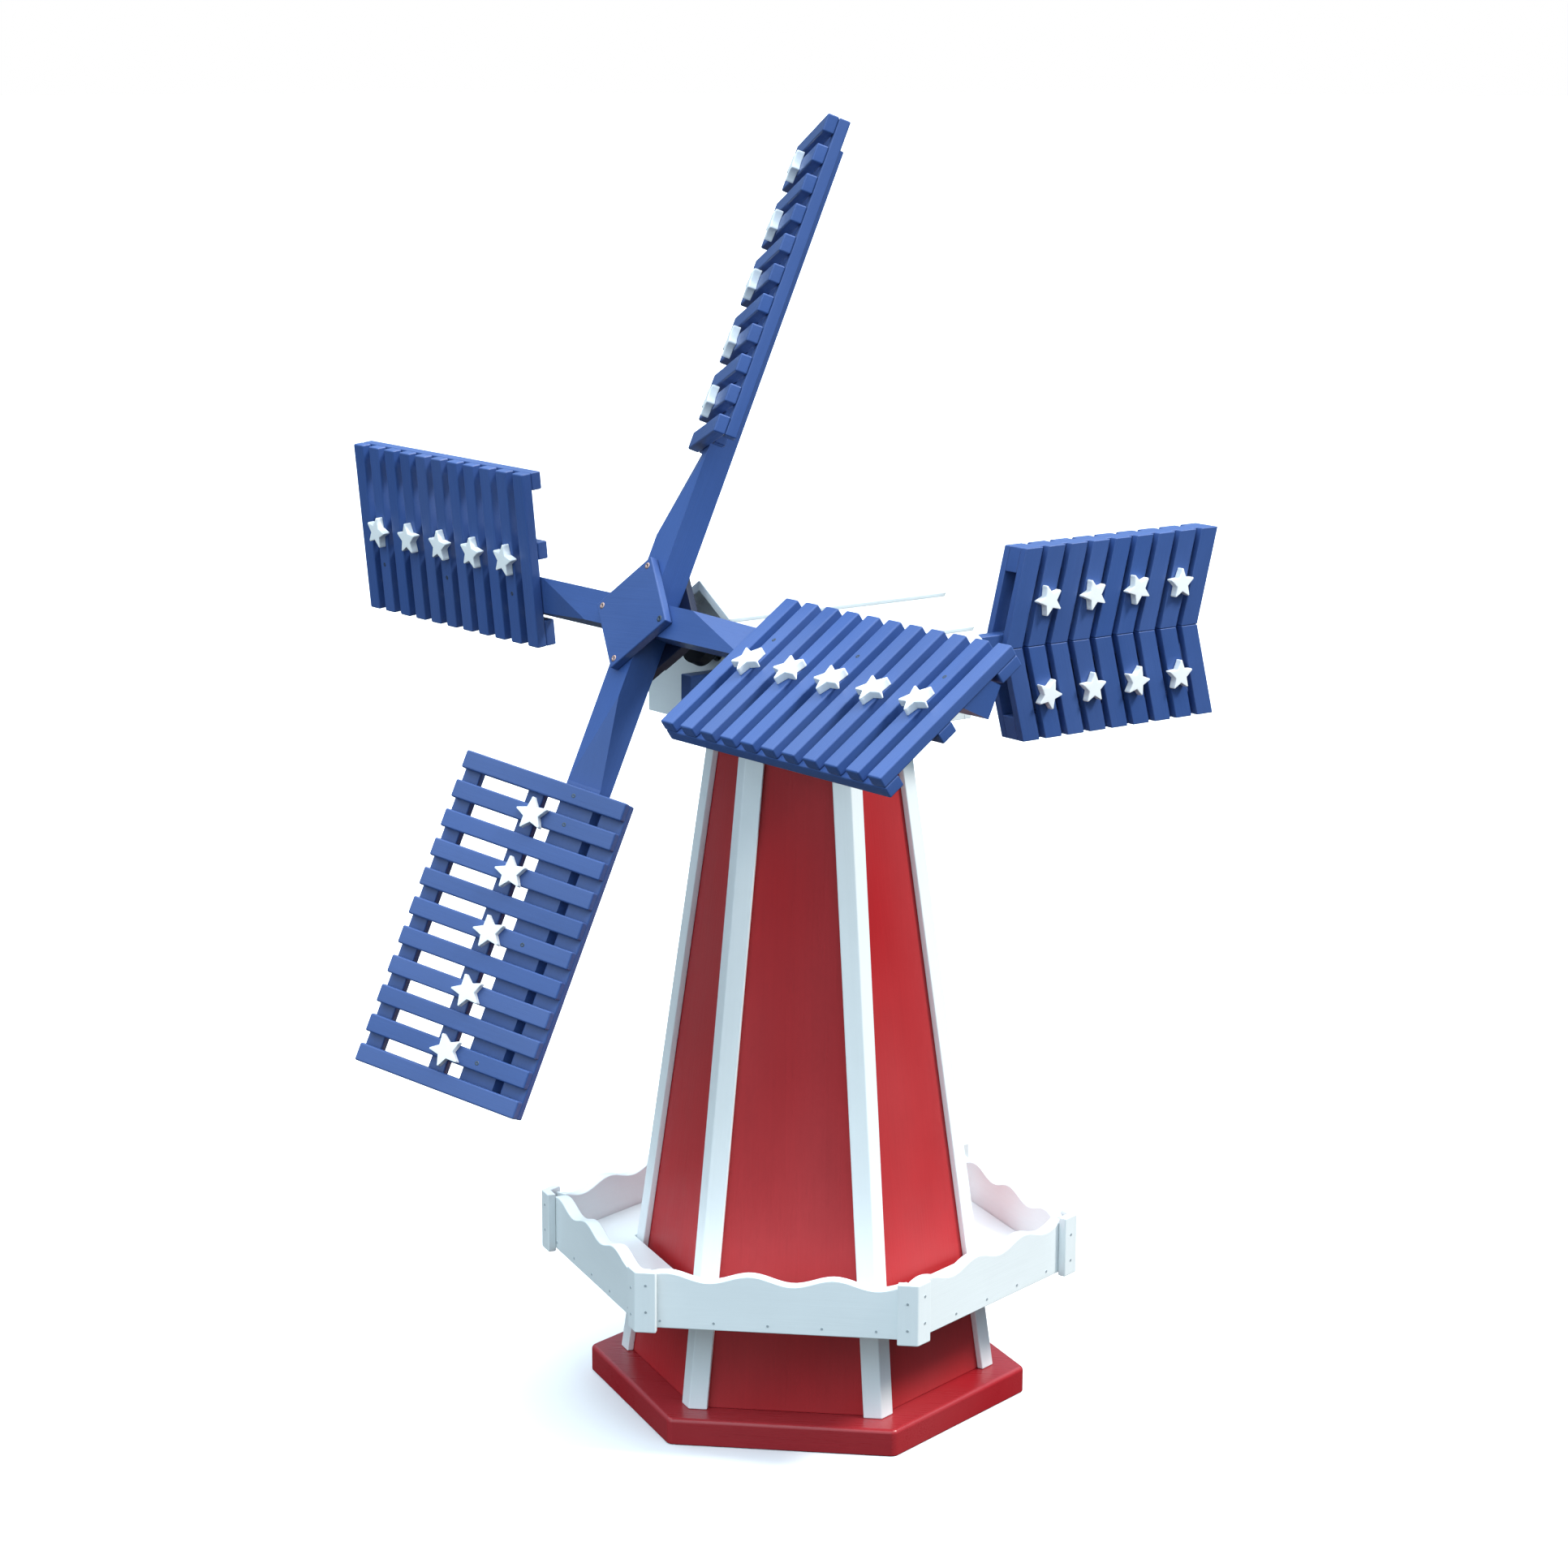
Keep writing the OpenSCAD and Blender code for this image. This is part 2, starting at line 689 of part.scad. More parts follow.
// Turn of the stars on each blade, so that one point of each is uppermost
star_turn = [180, 130, 201, 262];

// Line of one arm: X outward, the first arm up and the next ones clockwise from the front
module along_arm(k) {
  in_rotor() translate([0, 0, arm_z]) rotate([0, 0, 90 - 90 * k]) children();
}
// Frame of one blade: X outward along the arm, Y along the slats with the low side
// toward -Y, Z out of the slats
module in_blade(k) { along_arm(k) rotate([-pitch_a, 0, 0]) children(); }

// One arm, full length, with the bevels and pitched seats at both ends and half of the
// cross lap taken out at the middle
module arm(k, keeps_front) {
  bevel_a = atan((arm_reach - seat_z) / (seat_r - bevel_r));
  lap_w = arm_w + 2 * gap;
  lap_cut = 30;
  difference() {
    along_arm(k) translate([-arm_end, -arm_w / 2, -arm_w / 2]) cube([2 * arm_end, arm_w, arm_w]);
    for (j = [k, k + 2]) in_blade(j) {
      translate([seat_r, -80, seat_z]) cube([500, 160, 60]);
      translate([seat_r, 0, seat_z]) rotate([0, bevel_a, 0])
        translate([-160, -80, 0]) cube([160.2, 160, 60]);
    }
    in_rotor() translate([-lap_w / 2, -lap_w / 2, arm_z - (keeps_front ? lap_cut : gap / 2)])
      cube([lap_w, lap_w, lap_cut + gap / 2]);
    in_rotor() shaft_bore();
    // Pocket for the front nut
    in_rotor() translate([0, 0, front_nut_z - gap]) cylinder(d = 32, h = 40);
  }
}
module arm_upright() { color(blue) arm(0, keeps_front = true); }
module arm_level() { color(blue) arm(1, keeps_front = false); }

module blade_slats(k) {
  color(blue) in_blade(k) for (i = [0:slat_n - 1])
    translate([blade_in + i * slat_step, -slat_low, slat_front - slat_t])
      cube([slat_w, slat_l, slat_t]);
}
module blade_battens(k) {
  color(blue) in_blade(k) for (batten = battens)
    translate([blade_in + 0.5, batten[0], seat_z - batten_t])
      cube([blade_out - blade_in - 1, batten[1], batten_t]);
}
// Stars on every second slat, each turned a few degrees from its neighbours
module blade_stars(k) {
  color(white) in_blade(k) for (i = [1:2:9])
    translate([blade_in + i * slat_step + slat_w / 2, star_y, slat_front + gap])
      rotate([0, 0, star_turn[k] + 4 * ((i * 3 + k) % 5) - 8]) star();
}

base_plate();
tower_panel(0);  // tower_panel_1
tower_panel(1);  // tower_panel_2
tower_panel(2);  // tower_panel_3
tower_panel(3);  // tower_panel_4
tower_panel(4);  // tower_panel_5
tower_panel(5);  // tower_panel_6
corner_posts();
planter_floor();
planter_sides();
planter_corners();
planter_nails();
tower_top_plate();
pivot_plate();
pivot_bushes();
thrust_washer();
pivot_shaft();
pivot_collar();
pivot_screws();
head_floor();
head_front();
head_rear();
head_side_left();
head_side_right();
roof_left();
roof_right();
shaft_cradle();
shaft_bearings();
bearing_bolts();
nose_block();
boom_cleat();
tail_boom();
tail_top_batten();
tail_bottom_batten();
tail_slats_left();
tail_slats_right();
tail_stars();
rotor_shaft();
shaft_nuts();
shaft_collars();
front_collar();
hub_front_plate();
hub_back_plate();
hub_block();
hub_screws();
arm_upright();
arm_level();
blade_slats(0);  // blade_slats_1
blade_slats(1);  // blade_slats_2
blade_slats(2);  // blade_slats_3
blade_slats(3);  // blade_slats_4
blade_battens(0);  // blade_battens_1
blade_battens(1);  // blade_battens_2
blade_battens(2);  // blade_battens_3
blade_battens(3);  // blade_battens_4
blade_stars(0);  // blade_stars_1
blade_stars(1);  // blade_stars_2
blade_stars(2);  // blade_stars_3
blade_stars(3);  // blade_stars_4
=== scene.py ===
# A painted wooden garden windmill: a base and planter under a panelled tower, a roofed
# head with a slatted tail, and a four-bladed rotor with star cut-outs. It stands upright
# along +Z with its foot near z = 0. The rotor's axis is read from its joint.
# Units are metres.
import bpy
import bmesh
import json
import math
import random
import numpy as np
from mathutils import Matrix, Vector

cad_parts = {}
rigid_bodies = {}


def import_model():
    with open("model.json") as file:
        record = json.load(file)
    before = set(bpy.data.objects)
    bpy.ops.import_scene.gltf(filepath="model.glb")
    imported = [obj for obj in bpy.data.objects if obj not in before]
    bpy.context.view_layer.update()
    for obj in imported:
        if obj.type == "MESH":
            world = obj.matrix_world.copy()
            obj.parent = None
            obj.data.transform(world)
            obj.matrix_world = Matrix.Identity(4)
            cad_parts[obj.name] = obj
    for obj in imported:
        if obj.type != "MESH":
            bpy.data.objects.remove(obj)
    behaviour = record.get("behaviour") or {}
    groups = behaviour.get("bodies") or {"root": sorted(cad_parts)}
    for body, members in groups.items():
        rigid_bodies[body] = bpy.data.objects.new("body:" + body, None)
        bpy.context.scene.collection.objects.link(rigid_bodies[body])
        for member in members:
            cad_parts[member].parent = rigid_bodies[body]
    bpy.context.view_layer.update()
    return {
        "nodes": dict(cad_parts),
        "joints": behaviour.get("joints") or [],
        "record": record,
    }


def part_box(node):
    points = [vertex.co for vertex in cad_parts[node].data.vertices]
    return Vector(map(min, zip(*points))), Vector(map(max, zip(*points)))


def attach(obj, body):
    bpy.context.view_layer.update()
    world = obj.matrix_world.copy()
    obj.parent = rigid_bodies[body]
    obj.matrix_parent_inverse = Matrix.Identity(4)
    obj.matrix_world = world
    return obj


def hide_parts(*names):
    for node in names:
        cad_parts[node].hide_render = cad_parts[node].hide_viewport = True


for old in list(bpy.data.objects):
    bpy.data.objects.remove(old)
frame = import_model()
NODES = frame["nodes"]
BODY_OF = {node: body for body, members in frame["record"]["behaviour"]["bodies"].items()
           for node in members}
SCENE = bpy.context.scene


# ---------------------------------------------------------------- shader node helpers
def linear(code):
    """Linear RGBA of an sRGB hex colour."""
    code = code.lstrip("#")
    srgb = [int(code[i:i + 2], 16) / 255 for i in (0, 2, 4)]
    return tuple([c / 12.92 if c <= 0.04045 else ((c + 0.055) / 1.055) ** 2.4
                  for c in srgb] + [1.0])


class Nodes:
    """Short calls for building a node tree. A value may be a number, a colour or a socket."""

    def __init__(self, tree):
        self.tree = tree

    def node(self, kind, **props):
        node = self.tree.nodes.new(kind)
        for key, value in props.items():
            setattr(node, key, value)
        return node

    def feed(self, value, socket):
        if isinstance(value, (int, float, tuple)):
            socket.default_value = value
        else:
            self.tree.links.new(value, socket)

    def attribute(self, name, output):
        return self.node("ShaderNodeAttribute", attribute_name=name).outputs[output]

    def noise(self, vector, scale, detail=3.0, rough=0.55, distortion=0.0):
        """Noise with its own scale along each axis of vector."""
        mapping = self.node("ShaderNodeMapping")
        mapping.inputs["Scale"].default_value = scale
        self.feed(vector, mapping.inputs["Vector"])
        noise = self.node("ShaderNodeTexNoise")
        noise.inputs["Scale"].default_value = 1.0
        noise.inputs["Detail"].default_value = detail
        noise.inputs["Roughness"].default_value = rough
        noise.inputs["Distortion"].default_value = distortion
        self.feed(mapping.outputs[0], noise.inputs["Vector"])
        return noise.outputs[0]

    def ramp(self, value, stops):
        """stops are (position, colour), from low to high."""
        ramp = self.node("ShaderNodeValToRGB")
        elements = ramp.color_ramp.elements
        elements[0].position, elements[0].color = stops[0]
        elements[1].position, elements[1].color = stops[-1]
        for position, colour in stops[1:-1]:
            elements.new(position).color = colour
        self.feed(value, ramp.inputs[0])
        return ramp.outputs[0]

    def math(self, operation, a, b):
        node = self.node("ShaderNodeMath", operation=operation)
        self.feed(a, node.inputs[0])
        self.feed(b, node.inputs[1])
        return node.outputs[0]

    def add(self, a, b):
        return self.math("ADD", a, b)

    def times(self, a, b):
        return self.math("MULTIPLY", a, b)

    def vary(self, base, value, size):
        """base + size * (value - 0.5)"""
        return self.add(base, self.times(self.math("SUBTRACT", value, 0.5), size))

    def mix(self, share, a, b):
        node = self.node("ShaderNodeMix", data_type="RGBA", blend_type="MIX")
        self.feed(share, node.inputs[0])
        self.feed(a, node.inputs[6])
        self.feed(b, node.inputs[7])
        return node.outputs[2]

    def map_range(self, value, from_low, from_high, to_low=0.0, to_high=1.0):
        node = self.node("ShaderNodeMapRange")
        node.clamp = True
        for i, limit in enumerate((from_low, from_high, to_low, to_high)):
            node.inputs[i + 1].default_value = limit
        self.feed(value, node.inputs[0])
        return node.outputs[0]


class Look(Nodes):
    """Node builder for a Principled material."""

    def __init__(self, name):
        self.material = bpy.data.materials.new(name)
        self.material.use_nodes = True
        super().__init__(self.material.node_tree)
        self.shader = self.tree.nodes["Principled BSDF"]

    def set(self, name, value):
        self.feed(value, self.shader.inputs[name])

    def brightness(self, colour):
        """A hue and saturation node on the colour."""
        node = self.node("ShaderNodeHueSaturation")
        node.inputs["Color"].default_value = linear(colour)
        return node

    def bump(self, height, strength, distance):
        node = self.node("ShaderNodeBump")
        node.inputs["Strength"].default_value = strength
        node.inputs["Distance"].default_value = distance
        self.feed(height, node.inputs["Height"])
        self.set("Normal", node.outputs[0])


# ---------------------------------------------------------------- materials
# Wood noise scales run along the grain first, then across it twice.
def painted(name, colour, wear_and_highlight, rough, wear_and_highlight_amount, uneven=1.0, specular=0.35):
    """Brushed semi-gloss paint over sawn softwood: grain telegraphs through, brush
    marks run with the board, and edges are lighter in patches: partly thinner
    paint and partly a painted highlight along the rounded edges."""
    look = Look(name)
    along = look.attribute("gc", "Vector")
    tone = look.attribute("tone", "Fac")
    edge = look.attribute("edge", "Fac")
    grain = look.noise(along, (7, 230, 230), detail=4.0, rough=0.62, distortion=0.6)
    brush = look.noise(along, (14, 900, 900), detail=2.0, rough=0.5)
    mottle = look.noise(along, (11, 17, 17), detail=3.0, rough=0.6)
    broad = look.noise(along, (2.2, 5, 5), detail=1.0, rough=0.5)
    edge_patch_noise = look.noise(along, (60, 140, 140), detail=3.0, rough=0.65)

    value = 1.0
    for source, size in ((mottle, 0.16), (broad, 0.16), (grain, 0.13), (tone, 0.12)):
        value = look.vary(value, source, size * uneven)
    coat = look.brightness(colour)
    look.feed(value, coat.inputs["Value"])
    look.feed(look.vary(1.0, broad, -0.14 * uneven), coat.inputs["Saturation"])
    # Lighter patches on rounded edges: partly worn, thin paint and partly a painted highlight
    # where the edges catch the light.
    edge_patches = look.map_range(edge_patch_noise, 0.38, 0.62)
    share = look.times(look.times(edge, edge_patches), wear_and_highlight_amount)
    look.set("Base Color", look.mix(share, coat.outputs[0], linear(wear_and_highlight)))

    roughness = look.vary(look.vary(rough, brush, 0.16), mottle, 0.14)
    look.set("Roughness", look.add(roughness, look.times(edge, 0.08)))
    height = look.add(look.times(grain, 0.7), look.times(brush, 0.3))
    look.bump(height, strength=0.35, distance=0.0006)
    look.set("Specular IOR Level", specular)
    return look.material


def bare_wood(name, light, dark, knot, rough):
    """Unpainted softwood with growth rings, fine grain and knots."""
    look = Look(name)
    along = look.attribute("gc", "Vector")
    rings = look.noise(along, (2.0, 70, 70), detail=3.0, rough=0.55, distortion=1.8)
    fine = look.noise(along, (16, 700, 700), detail=3.0, rough=0.6)
    knots = look.noise(along, (14, 30, 30), detail=1.0, rough=0.4)
    light, dark = linear(light), linear(dark)
    colour = look.ramp(rings, [(0.30, light), (0.52, dark), (0.60, light), (0.72, dark)])
    colour = look.mix(look.map_range(fine, 0.35, 0.8, to_high=0.45), colour, dark)
    colour = look.mix(look.map_range(knots, 0.70, 0.78, to_high=0.8), colour, linear(knot))
    look.set("Base Color", colour)
    look.set("Roughness", look.vary(rough, fine, 0.2))
    look.bump(look.add(rings, look.times(fine, 0.5)), strength=0.4, distance=0.0005)
    return look.material


def metal(name, colour, stain, rough, stained, metallic=1.0):
    """Metal clouded with stain; stained is the most the stain covers."""
    look = Look(name)
    place = look.node("ShaderNodeTexCoord").outputs["Object"]
    cloud = look.noise(place, (120, 120, 120), detail=4.0, rough=0.65)
    fine = look.noise(place, (900, 900, 2600), detail=2.0, rough=0.5)
    share = look.map_range(cloud, 0.42, 0.72, to_high=stained)
    look.set("Base Color", look.mix(share, linear(colour), linear(stain)))
    look.set("Roughness", look.vary(look.vary(rough, fine, 0.2), cloud, 0.25))
    look.bump(look.add(fine, look.times(cloud, 0.6)), strength=0.25, distance=0.0002)
    look.set("Metallic", metallic)
    return look.material


def plastic(name, colour, rough):
    look = Look(name)
    place = look.node("ShaderNodeTexCoord").outputs["Object"]
    cloud = look.noise(place, (60, 60, 60), detail=3.0, rough=0.6)
    fine = look.noise(place, (1500, 1500, 1500), detail=2.0, rough=0.5)
    tint = look.brightness(colour)
    look.feed(look.vary(1.0, cloud, 0.2), tint.inputs["Value"])
    look.set("Base Color", tint.outputs[0])
    look.set("Roughness", look.vary(rough, cloud, 0.2))
    look.bump(fine, strength=0.2, distance=0.0002)
    return look.material


# Each paint's second colour is its lighter edge: partly worn paint, partly painted highlight.
BLUE = painted("blue_paint_look", "#3a558e", wear_and_highlight="#7690c6", rough=0.38, wear_and_highlight_amount=0.4)
# Near-black blue for the hub's back plate and block: painted shade behind the hub.
BLUE_PAINTED_SHADE = painted("dark_blue_paint_look", "#0e1732", wear_and_highlight="#2a3d6c", rough=0.45, wear_and_highlight_amount=0.3)
RED = painted("red_paint_look", "#ab2a2e", wear_and_highlight="#c9564f", rough=0.42, wear_and_highlight_amount=0.35,
              specular=0.22)
BASE_RED = painted("red_base_paint_look", "#a0252c", wear_and_highlight="#c9564f", rough=0.30, wear_and_highlight_amount=0.3,
                   specular=0.42)
WHITE = painted("white_paint_look", "#e6ebec", wear_and_highlight="#f6f8f8", rough=0.34, wear_and_highlight_amount=0.3,
                uneven=0.35)
STAR_WHITE = painted("star_paint_look", "#f2f5f6", wear_and_highlight="#ffffff", rough=0.34, wear_and_highlight_amount=0.2,
                     uneven=0.25)
BARE = bare_wood("bare_wood_look", light="#c79a68", dark="#8a5c34", knot="#5a3a20", rough=0.62)
STEEL = metal("steel_look", "#9aa0a6", stain="#6b6058", rough=0.34, stained=0.45)
NAIL = metal("nail_look", "#b9c2c8", stain="#8f969a", rough=0.45, stained=0.6, metallic=0.4)
SCREW = metal("screw_look", "#4d5866", stain="#2a3038", rough=0.42, stained=0.6, metallic=0.8)
BRASS = metal("brass_look", "#b8903f", stain="#7a5a24", rough=0.3, stained=0.4)
# Near-black iron: partly the metal's own dark colour, partly painted shade around the shaft
# behind the hub.
IRON_WITH_PAINTED_SHADE = metal("iron_look", "#202226", stain="#191513", rough=0.55, stained=0.5, metallic=0.7)
PALE_SCREW = metal("pale_screw_look", "#c9a79a", stain="#8d7f86", rough=0.36, stained=0.5,
                   metallic=0.85)
NYLON = plastic("nylon_look", "#dcdccf", rough=0.45)

# The material of a plain board in each slot
BOARD_LOOKS = {"blue_paint": BLUE, "dark_blue_paint": BLUE_PAINTED_SHADE, "red_paint": RED,
               "white_paint": WHITE, "bare_wood": BARE}


# ---------------------------------------------------------------- mesh helpers
def islands(bm):
    """Vertex indices of each connected part."""
    bm.verts.index_update()
    seen = [False] * len(bm.verts)
    groups = []
    for start in bm.verts:
        if seen[start.index]:
            continue
        stack, group = [start], []
        seen[start.index] = True
        while stack:
            vert = stack.pop()
            group.append(vert.index)
            for edge in vert.link_edges:
                other = edge.other_vert(vert)
                if not seen[other.index]:
                    seen[other.index] = True
                    stack.append(other)
        groups.append(group)
    return groups


def clean_copy(node):
    """The CAD node's mesh as a welded bmesh with its flat faces joined up."""
    bm = bmesh.new()
    bm.from_mesh(NODES[node].data)
    for layer in list(bm.loops.layers.uv):
        bm.loops.layers.uv.remove(layer)
    bmesh.ops.remove_doubles(bm, verts=bm.verts, dist=2e-6)
    bmesh.ops.dissolve_limit(bm, angle_limit=math.radians(0.6), verts=bm.verts, edges=bm.edges)
    return bm


def sharp_edges(bm, degrees):
    limit = math.radians(degrees)
    return [e for e in bm.edges if len(e.link_faces) == 2 and e.calc_face_angle(0) > limit]


def round_edges(bm, edges, width, segments):
    """Rounds the edges over and returns the new faces."""
    if not edges:
        return []
    result = bmesh.ops.bevel(bm, geom=edges, offset=width, offset_type="OFFSET",
                             segments=segments, profile=0.5, affect="EDGES",
                             clamp_overlap=True, loop_slide=True)
    return result["faces"]


def main_axes(points, middle):
    """Axes of a part from its spread, longest first, each mostly positive."""
    spread, axes = np.linalg.eigh(np.cov((points - middle).T) + np.eye(3) * 1e-12)
    axes = axes[:, np.argsort(spread)[::-1]].T
    for axis in axes:
        if axis[int(np.argmax(np.abs(axis)))] < 0:
            axis *= -1
    return axes


def grain_axes(grain):
    """Axes with the first one along the given grain."""
    along = np.array(grain, float)
    along /= np.linalg.norm(along)
    helper = np.array([0, 0, 1.0]) if abs(along[2]) < 0.9 else np.array([1.0, 0, 0])
    across = np.cross(helper, along)
    across /= np.linalg.norm(across)
    return np.array([along, across, np.cross(along, across)])


def add_grain(mesh, groups, grain):
    """Stores each board's own coordinates along its grain, and a random tone."""
    places = np.array([v.co for v in mesh.vertices], float).reshape(-1, 3)
    coords = np.zeros_like(places)
    tone = np.zeros(len(places), np.float32)
    rnd = random.Random(sum(ord(c) * (i + 1) for i, c in enumerate(mesh.name)))
    for group in groups:
        points = places[group]
        middle = points.mean(0)
        axes = main_axes(points, middle) if grain is None else grain_axes(grain)
        shift = np.array([rnd.uniform(-9, 9) for _ in range(3)])
        coords[group] = (points - middle) @ axes.T + shift
        tone[group] = rnd.random()
    attribute = mesh.attributes.new("gc", "FLOAT_VECTOR", "POINT")
    attribute.data.foreach_set("vector", coords.astype(np.float32).ravel())
    attribute = mesh.attributes.new("tone", "FLOAT", "POINT")
    attribute.data.foreach_set("value", tone)


def finish_mesh(bm, name, body, material, wear_and_highlight_faces=(), grain=None, weighted=True):
    """Writes the bmesh to an object that rides on body."""
    # Faces marked here get the lighter edge colour: partly wear, partly painted highlight.
    edge_layer = bm.faces.layers.float.new("edge")
    for face in wear_and_highlight_faces:
        if face.is_valid:
            face[edge_layer] = 1.0
    for face in bm.faces:
        face.smooth = True
    bm.normal_update()
    groups = islands(bm)
    mesh = bpy.data.meshes.new(name)
    bm.to_mesh(mesh)
    bm.free()
    add_grain(mesh, groups, grain)
    mesh.materials.append(material)
    ob = bpy.data.objects.new(name, mesh)
    SCENE.collection.objects.link(ob)
    if weighted:
        modifier = ob.modifiers.new("normals", "WEIGHTED_NORMAL")
        modifier.weight = 80
        modifier.mode = "FACE_AREA"
        modifier.keep_sharp = False
    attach(ob, body)
    return ob


def board(node, slot, width, segments=2, angle=25, grain=None):
    """A CAD piece with its edges sharper than angle (degrees) rounded by width."""
    bm = clean_copy(node)
    wear_and_highlight = round_edges(bm, sharp_edges(bm, angle), width, segments)
    ob = finish_mesh(bm, node + "_piece", BODY_OF[node], BOARD_LOOKS[slot], wear_and_highlight, grain)
    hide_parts(node)


def keep(material, *nodes):
    """CAD nodes that stay as they are and only get their material."""
    for node in nodes:
        ob = NODES[node]
        if ob.material_slots:
            for slot in ob.material_slots:
                slot.link = "OBJECT"
                slot.material = material
        else:
            ob.data.materials.append(material)


def band(bm, lower, upper):
    """Quads between two closed rings of vertices."""
    count = len(lower)
    return [bm.faces.new((lower[i], lower[(i + 1) % count], upper[(i + 1) % count], upper[i]))
            for i in range(count)]


# ---------------------------------------------------------------- base and tower
def build_base():
    """Base plate with rounded corners, a full round on top and a small one below."""
    bm = clean_copy("base_plate")
    upright = [e for e in bm.edges if abs(e.verts[0].co.z - e.verts[1].co.z) > 0.02]
    round_edges(bm, upright, width=0.0065, segments=5)
    top = max(v.co.z for v in bm.verts)
    rim = [e for e in sharp_edges(bm, 40) if min(v.co.z for v in e.verts) > top - 1e-5]
    round_edges(bm, rim, width=0.0062, segments=5)
    low = min(v.co.z for v in bm.verts)
    rim = [e for e in sharp_edges(bm, 40) if max(v.co.z for v in e.verts) < low + 1e-5]
    round_edges(bm, rim, width=0.0015, segments=2)
    ob = finish_mesh(bm, "base_plate_piece", "tower", BASE_RED, grain=(1, 0, 0))
    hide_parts("base_plate")


def build_tower():
    for i in range(1, 7):
        board(f"tower_panel_{i}", "red_paint", 0.0012)
    board("corner_posts", "white_paint", 0.0016, angle=20)
    board("planter_sides", "white_paint", 0.0018, angle=30)
    board("planter_corners", "white_paint", 0.002, segments=3, angle=20)
    board("planter_floor", "white_paint", 0.001, segments=1, angle=30, grain=(1, 0, 0))
    board("tower_top_plate", "red_paint", 0.001, segments=1, angle=50, grain=(1, 0, 0))
    board("pivot_plate", "bare_wood", 0.001, segments=1, angle=50, grain=(1, 0, 0))


def colour_hardware():
    keep(NAIL, "planter_nails")
    keep(BRASS, "pivot_bushes")
    keep(NYLON, "thrust_washer")
    keep(STEEL, "pivot_shaft", "pivot_collar", "pivot_screws", "bearing_bolts",
         "rotor_shaft", "shaft_nuts", "shaft_collars")
    # Bearings and front collar in near-black iron, partly painted shade behind the hub.
    keep(IRON_WITH_PAINTED_SHADE, "shaft_bearings", "front_collar")
    keep(SCREW, "hub_screws")


# ---------------------------------------------------------------- head, tail and rotor boards
def build_head():
    board("head_floor", "bare_wood", 0.001, segments=1, angle=50, grain=(1, -1, 0))
    for node in ("head_front", "head_rear"):
        board(node, "white_paint", 0.0012, angle=40)
    for node in ("head_side_left", "head_side_right"):
        board(node, "white_paint", 0.0012)
    for node in ("roof_left", "roof_right"):
        board(node, "white_paint", 0.0016, angle=20)
    board("shaft_cradle", "bare_wood", 0.001, segments=1, angle=50)
    board("boom_cleat", "bare_wood", 0.001, segments=1)


def build_tail_and_nose():
    for node in ("tail_boom", "tail_top_batten", "tail_bottom_batten", "nose_block"):
        board(node, "blue_paint", 0.0016)
    for node in ("tail_slats_left", "tail_slats_right"):
        board(node, "blue_paint", 0.0014)


def build_rotor():
    board("hub_front_plate", "blue_paint", 0.0018, segments=3)
    # Hub back plate and block in the near-black blue: painted shade behind the hub.
    for node in ("hub_back_plate", "hub_block"):
        board(node, "dark_blue_paint", 0.0015, angle=50)
    for node in ("arm_upright", "arm_level"):
        board(node, "blue_paint", 0.0018, angle=12)
    for k in range(1, 5):
        board(f"blade_slats_{k}", "blue_paint", 0.0024, segments=3)
        board(f"blade_battens_{k}", "blue_paint", 0.002)


# ---------------------------------------------------------------- stars
# Side of a star from back to front: (share of the outline's size, share of the thickness)
STAR_PROFILE = [(0.98, 0.0), (1.0, 0.06), (1.0, 0.80), (0.995, 0.88),
                (0.98, 0.94), (0.955, 0.98), (0.92, 1.0)]
WEAR_AND_HIGHLIGHT_BANDS = (3, 4)     # bands of the profile where the paint is lighter: partly thin paint, partly painted highlight


def add_star(bm, face, front, back):
    """One cut-out star with a sanded, rounded-over edge. face is its front outline,
    front and back are the middles of its two sides. Returns the faces of its
    lighter edge, partly worn paint and partly painted highlight."""
    normal = (front - back).normalized()
    thickness = (front - back).length
    outline = [v.co.copy() for v in face.verts]
    if face.normal.dot(normal) < 0:
        outline.reverse()
    count = len(outline)
    centre = sum(outline, Vector()) / count
    rings = [[bm.verts.new(centre + (p - centre) * size - normal * (thickness * (1 - height)))
              for p in outline] for size, height in STAR_PROFILE]
    bands = [band(bm, lower, upper) for lower, upper in zip(rings, rings[1:])]
    top = bm.verts.new(centre)
    inner = [bm.verts.new(centre + (p - centre) * 0.5) for p in outline]
    rim = rings[-1]
    for i in range(count):
        j = (i + 1) % count
        bm.faces.new((rim[i], rim[j], inner[j], inner[i]))
        bm.faces.new((inner[i], inner[j], top))
    low = bm.verts.new(centre - normal * thickness)
    for i in range(count):
        bm.faces.new((rings[0][(i + 1) % count], rings[0][i], low))
    return [f for i in WEAR_AND_HIGHLIGHT_BANDS for f in bands[i]]


